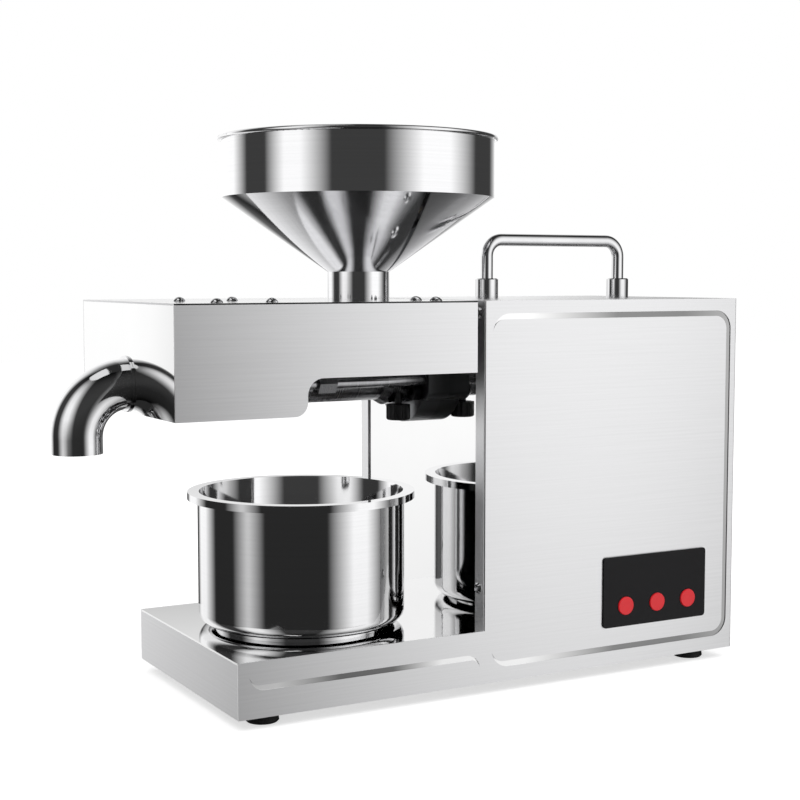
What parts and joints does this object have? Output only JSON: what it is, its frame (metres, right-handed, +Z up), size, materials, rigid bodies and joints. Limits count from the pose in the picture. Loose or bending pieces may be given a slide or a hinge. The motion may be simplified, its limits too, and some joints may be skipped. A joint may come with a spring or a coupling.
{
  "type": "screw oil press",
  "caption": "Countertop screw oil press with a motor tower, cantilever press arm, funnel hopper, cake elbow, drawn oil cup, carrying handle and push-button panel.",
  "frame": {"origin": "middle of the machine's footprint, on the surface the feet stand on", "axes": "+X from the cake outlet towards the motor tower, +Y from the control side to the back, +Z up"},
  "size_m": [0.4908, 0.1958, 0.3822],
  "materials": {
    "brushed_sheet": "horizontally brushed stainless sheet",
    "mirror_sheet": "mirror-polished stainless sheet",
    "polished_steel": "polished stainless steel",
    "tool_steel": "turned and milled steel",
    "cast_steel": "machined steel casting",
    "dark_steel": "blackened steel",
    "gear_steel": "hobbed steel",
    "housing_alloy": "die-cast alloy",
    "bronze": "sintered bronze",
    "motor_paint": "black enamel",
    "magnet": "ferrite",
    "lamination": "stacked laminations",
    "black_plastic": "moulded black plastic",
    "gloss_black": "glossy black plastic",
    "red_button": "glossy red plastic",
    "board": "green circuit board",
    "foot_rubber": "black rubber",
    "heater_steel": "heat-tinted steel band"
  },
  "bodies": {
    "chassis": {"front_panel": "brushed_sheet", "back_panel": "brushed_sheet", "bottom_plate": "brushed_sheet", "base_top_plate": "mirror_sheet", "base_end_plate": "brushed_sheet", "tower_left_plate": "mirror_sheet", "tower_right_plate": "brushed_sheet", "tower_top_plate": "brushed_sheet", "flange_screws": "polished_steel", "feet": "foot_rubber", "foot_screws": "polished_steel", "arm_cover": "brushed_sheet", "arm_end_plate": "mirror_sheet", "arm_screws": "polished_steel", "barrel_hanger": "cast_steel", "cover_bracket": "tool_steel", "connecting_seat": "cast_steel", "seat_bolts": "dark_steel", "press_barrel": "tool_steel", "choke_nut": "tool_steel", "tie_rods": "tool_steel", "tie_nuts": "tool_steel", "band_heater": "heater_steel", "temperature_probe": "tool_steel", "feed_throat": "tool_steel", "output_bearings": "tool_steel", "idler_bushes": "bronze", "gearbox_housing": "housing_alloy", "gearbox_cover": "housing_alloy", "gearbox_screws": "tool_steel", "motor_can": "motor_paint", "motor_bearings": "tool_steel", "motor_end_cap": "housing_alloy", "motor_magnets": "magnet", "motor_cradle": "brushed_sheet", "handle_bar": "polished_steel", "handle_sleeves": "polished_steel", "handle_nuts": "polished_steel", "control_panel": "gloss_black", "control_board": "board", "power_inlet": "black_plastic", "inlet_screws": "polished_steel"},
    "press_screw_body": {"press_screw": "tool_steel", "output_shaft": "gear_steel", "output_gear": "gear_steel"},
    "first_idler_body": {"first_idler_shaft": "gear_steel", "first_idler_gear": "gear_steel"},
    "second_idler_body": {"second_idler_shaft": "gear_steel", "second_idler_gear": "gear_steel"},
    "rotor_body": {"motor_shaft": "gear_steel", "rotor_core": "lamination", "cooling_fan": "black_plastic"},
    "hopper_body": {"hopper_bowl": "polished_steel", "hopper_collar": "polished_steel"},
    "cup_body": {"oil_cup": "polished_steel"},
    "elbow_body": {"cake_elbow": "polished_steel"},
    "knob_body": {"lock_knob": "black_plastic"},
    "heat_button_body": {"heat_button": "red_button"},
    "press_button_body": {"press_button": "red_button"},
    "reverse_button_body": {"reverse_button": "red_button"}
  },
  "joints": [
    {"name": "screw_turn", "type": "hinge", "parent": "chassis", "child": "press_screw_body", "pos_m": [0.0174, 0, 0.2155], "axis": [1, 0, 0], "continuous": true},
    {"name": "first_idler_turn", "type": "hinge", "parent": "chassis", "child": "first_idler_body", "pos_m": [0.0546, 0, 0.16825], "axis": [1, 0, 0], "continuous": true},
    {"name": "second_idler_turn", "type": "hinge", "parent": "chassis", "child": "second_idler_body", "pos_m": [0.0546, 0, 0.13075], "axis": [1, 0, 0], "continuous": true},
    {"name": "rotor_turn", "type": "hinge", "parent": "chassis", "child": "rotor_body", "pos_m": [0.1046, 0, 0.10075], "axis": [1, 0, 0], "continuous": true},
    {"name": "hopper_lift", "type": "slide", "parent": "chassis", "child": "hopper_body", "axis": [0, 0, 1], "range_m": [0, 0.06]},
    {"name": "cup_draw", "type": "slide", "parent": "chassis", "child": "cup_body", "axis": [0, -1, 0], "range_m": [0, 0.18]},
    {"name": "elbow_swivel", "type": "hinge", "parent": "chassis", "child": "elbow_body", "pos_m": [-0.1954, 0, 0.2155], "axis": [1, 0, 0], "range_deg": [-90, 90]},
    {"name": "knob_turn", "type": "hinge", "parent": "chassis", "child": "knob_body", "pos_m": [-0.0008, -0.0155, 0.1955], "axis": [0, 0, 1], "range_deg": [0, 360]},
    {"name": "heat_button_travel", "type": "slide", "parent": "chassis", "child": "heat_button_body", "axis": [0, 1, 0], "range_m": [0, 0.0008], "stiffness_N_per_m": 600},
    {"name": "press_button_travel", "type": "slide", "parent": "chassis", "child": "press_button_body", "axis": [0, 1, 0], "range_m": [0, 0.0008], "stiffness_N_per_m": 600},
    {"name": "reverse_button_travel", "type": "slide", "parent": "chassis", "child": "reverse_button_body", "axis": [0, 1, 0], "range_m": [0, 0.0008], "stiffness_N_per_m": 600}
  ],
  "couplings": [
    {"joint": "first_idler_turn", "follows": "screw_turn", "ratio": -3.5},
    {"joint": "second_idler_turn", "follows": "screw_turn", "ratio": 14},
    {"joint": "rotor_turn", "follows": "screw_turn", "ratio": -56}
  ]
}
